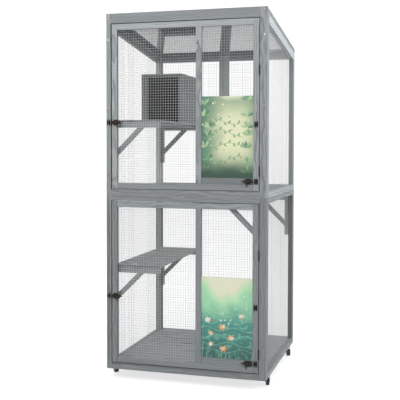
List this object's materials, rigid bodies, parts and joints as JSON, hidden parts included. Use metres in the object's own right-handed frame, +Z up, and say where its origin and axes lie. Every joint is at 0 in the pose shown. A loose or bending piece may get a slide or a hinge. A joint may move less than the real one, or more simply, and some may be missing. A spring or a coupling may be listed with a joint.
{
  "type": "outdoor cat cage",
  "caption": "Tall outdoor cat cage of grey stained timber and wire mesh on casters, with a sloping roof, hinged doors with lifting hatches, shelves and a sleeping box.",
  "frame": {"origin": "on the ground below the middle of the cage's timber footprint", "axes": "+X to the right as seen from the doors, +Y from the doors to the rear, +Z up"},
  "size_m": [0.8219, 0.791, 1.795],
  "materials": {
    "timber": "stained, matt",
    "timber_dark": "stained, matt",
    "roof": "gloss",
    "mesh": "galvanised wire",
    "black_metal": "black, satin",
    "bronze": "dark bronze, satin",
    "brass": "bright",
    "zinc": "zinc plated",
    "wheel": "matt",
    "print_upper": "printed, satin",
    "print_lower": "printed, satin"
  },
  "bodies": {
    "cage": {"lower_front_frame": "timber", "lower_left_panel": "timber", "lower_right_panel": "timber", "lower_rear_panel": "timber", "upper_front_frame": "timber", "upper_left_panel": "timber", "upper_right_panel": "timber", "upper_rear_panels": "timber", "roof_battens": "timber", "roof_sheet": "roof", "floor_boards": "timber", "floor_bearers": "timber", "lower_left_mesh": "mesh", "lower_right_mesh": "mesh", "lower_rear_mesh": "mesh", "upper_left_mesh": "mesh", "upper_right_mesh": "mesh", "upper_rear_meshes": "mesh", "lower_shelf_frame": "timber", "lower_shelf_slats": "timber", "upper_shelf_frame": "timber", "upper_shelf_slats": "timber", "left_shelf_brackets": "timber", "platform_frame": "timber", "platform_slats": "timber", "platform_brackets": "timber", "sleeping_box": "timber_dark", "frame_screws": "brass", "door_keepers": "black_metal", "frame_hinges": "black_metal", "caster_stems": "zinc"},
    "upper_door": {"upper_door_frame": "timber", "upper_door_mesh": "mesh", "upper_door_hinges": "black_metal", "upper_door_bolt": "black_metal", "upper_hatch_keepers": "black_metal"},
    "upper_hatch": {"upper_hatch_board": "print_upper", "upper_hatch_rail": "timber", "upper_hatch_bolt": "black_metal"},
    "upper_door_latch": {"upper_door_rod": "bronze"},
    "upper_hatch_latch": {"upper_hatch_rod": "bronze"},
    "lower_door": {"lower_door_frame": "timber", "lower_door_mesh": "mesh", "lower_door_hinges": "black_metal", "lower_door_bolt": "black_metal", "lower_hatch_keepers": "black_metal"},
    "lower_hatch": {"lower_hatch_board": "print_lower", "lower_hatch_rail": "timber", "lower_hatch_bolt": "black_metal"},
    "lower_door_latch": {"lower_door_rod": "bronze"},
    "lower_hatch_latch": {"lower_hatch_rod": "bronze"},
    "caster_fl": {"caster_fork_fl": "zinc"},
    "wheel_fl": {"caster_wheel_fl": "wheel"},
    "caster_fr": {"caster_fork_fr": "zinc"},
    "wheel_fr": {"caster_wheel_fr": "wheel"},
    "caster_rl": {"caster_fork_rl": "zinc"},
    "wheel_rl": {"caster_wheel_rl": "wheel"},
    "caster_rr": {"caster_fork_rr": "zinc"},
    "wheel_rr": {"caster_wheel_rr": "wheel"}
  },
  "joints": [
    {"name": "upper_door_hinge", "type": "hinge", "parent": "cage", "child": "upper_door", "pos_m": [0.36425, -0.39258, 1.3425], "axis": [0, 0, 1], "range_deg": [0, 150]},
    {"name": "upper_door_bolt_slide", "type": "slide", "parent": "upper_door", "child": "upper_door_latch", "axis": [-1, 0, 0], "range_m": [0, 0.016]},
    {"name": "upper_hatch_slide", "type": "slide", "parent": "upper_door", "child": "upper_hatch", "axis": [0, 0, 1], "range_m": [0, 0.32]},
    {"name": "upper_hatch_bolt_slide", "type": "slide", "parent": "upper_hatch", "child": "upper_hatch_latch", "axis": [1, 0, 0], "range_m": [0, 0.016]},
    {"name": "lower_door_hinge", "type": "hinge", "parent": "cage", "child": "lower_door", "pos_m": [0.36425, -0.39258, 0.481], "axis": [0, 0, 1], "range_deg": [0, 150]},
    {"name": "lower_door_bolt_slide", "type": "slide", "parent": "lower_door", "child": "lower_door_latch", "axis": [-1, 0, 0], "range_m": [0, 0.016]},
    {"name": "lower_hatch_slide", "type": "slide", "parent": "lower_door", "child": "lower_hatch", "axis": [0, 0, 1], "range_m": [0, 0.32]},
    {"name": "lower_hatch_bolt_slide", "type": "slide", "parent": "lower_hatch", "child": "lower_hatch_latch", "axis": [1, 0, 0], "range_m": [0, 0.016]},
    {"name": "caster_swivel_fl", "type": "hinge", "parent": "cage", "child": "caster_fl", "pos_m": [-0.3885, -0.29, 0.045], "axis": [0, 0, 1], "continuous": true},
    {"name": "wheel_spin_fl", "type": "hinge", "parent": "caster_fl", "child": "wheel_fl", "pos_m": [-0.39621, -0.28081, 0.019], "axis": [0.766, 0.6428, 0], "continuous": true},
    {"name": "caster_swivel_fr", "type": "hinge", "parent": "cage", "child": "caster_fr", "pos_m": [0.3885, -0.29, 0.045], "axis": [0, 0, 1], "continuous": true},
    {"name": "wheel_spin_fr", "type": "hinge", "parent": "caster_fr", "child": "wheel_fr", "pos_m": [0.38642, -0.27818, 0.019], "axis": [0.9848, 0.1736, 0], "continuous": true},
    {"name": "caster_swivel_rl", "type": "hinge", "parent": "cage", "child": "caster_rl", "pos_m": [-0.3885, 0.29, 0.045], "axis": [0, 0, 1], "continuous": true},
    {"name": "wheel_spin_rl", "type": "hinge", "parent": "caster_rl", "child": "wheel_rl", "pos_m": [-0.3926, 0.27872, 0.019], "axis": [-0.9397, 0.342, 0], "continuous": true},
    {"name": "caster_swivel_rr", "type": "hinge", "parent": "cage", "child": "caster_rr", "pos_m": [0.3885, 0.29, 0.045], "axis": [0, 0, 1], "continuous": true},
    {"name": "wheel_spin_rr", "type": "hinge", "parent": "caster_rr", "child": "wheel_rr", "pos_m": [0.39221, 0.27859, 0.019], "axis": [-0.9511, -0.309, 0], "continuous": true}
  ]
}
